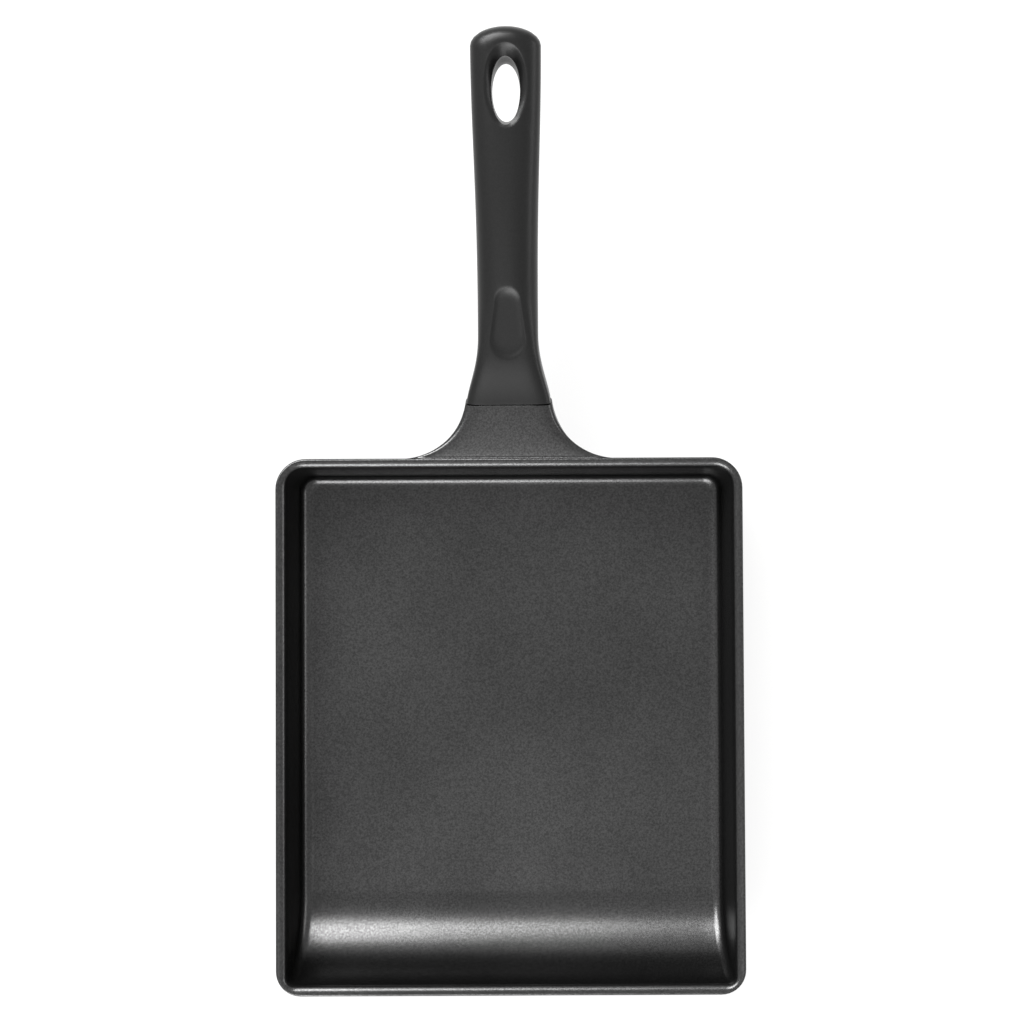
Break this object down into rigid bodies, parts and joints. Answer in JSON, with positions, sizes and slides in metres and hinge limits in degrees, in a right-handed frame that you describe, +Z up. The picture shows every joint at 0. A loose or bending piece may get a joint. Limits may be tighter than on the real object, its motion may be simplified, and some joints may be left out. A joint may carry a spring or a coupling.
{
  "type": "tamagoyaki pan",
  "caption": "Rectangular non-stick omelette pan with upright walls, a curved front ramp for rolling and turning, a cast neck and a moulded handle with a hanging hole.",
  "frame": {"origin": "on the plane the pan stands on, under the middle of the rim outline", "axes": "+X to the right seen from the front ramp, +Y towards the handle, +Z up"},
  "size_m": [0.18, 0.3664, 0.0698],
  "materials": {
    "nonstick_coat": "satin",
    "hob_steel": "brushed",
    "grip_moulding": "matte",
    "zinc_steel": "satin"
  },
  "bodies": {
    "root": {"pan_body": "nonstick_coat", "induction_plate": "hob_steel", "grip": "grip_moulding", "grip_screw": "zinc_steel", "lock_washer": "zinc_steel"}
  },
  "joints": []
}
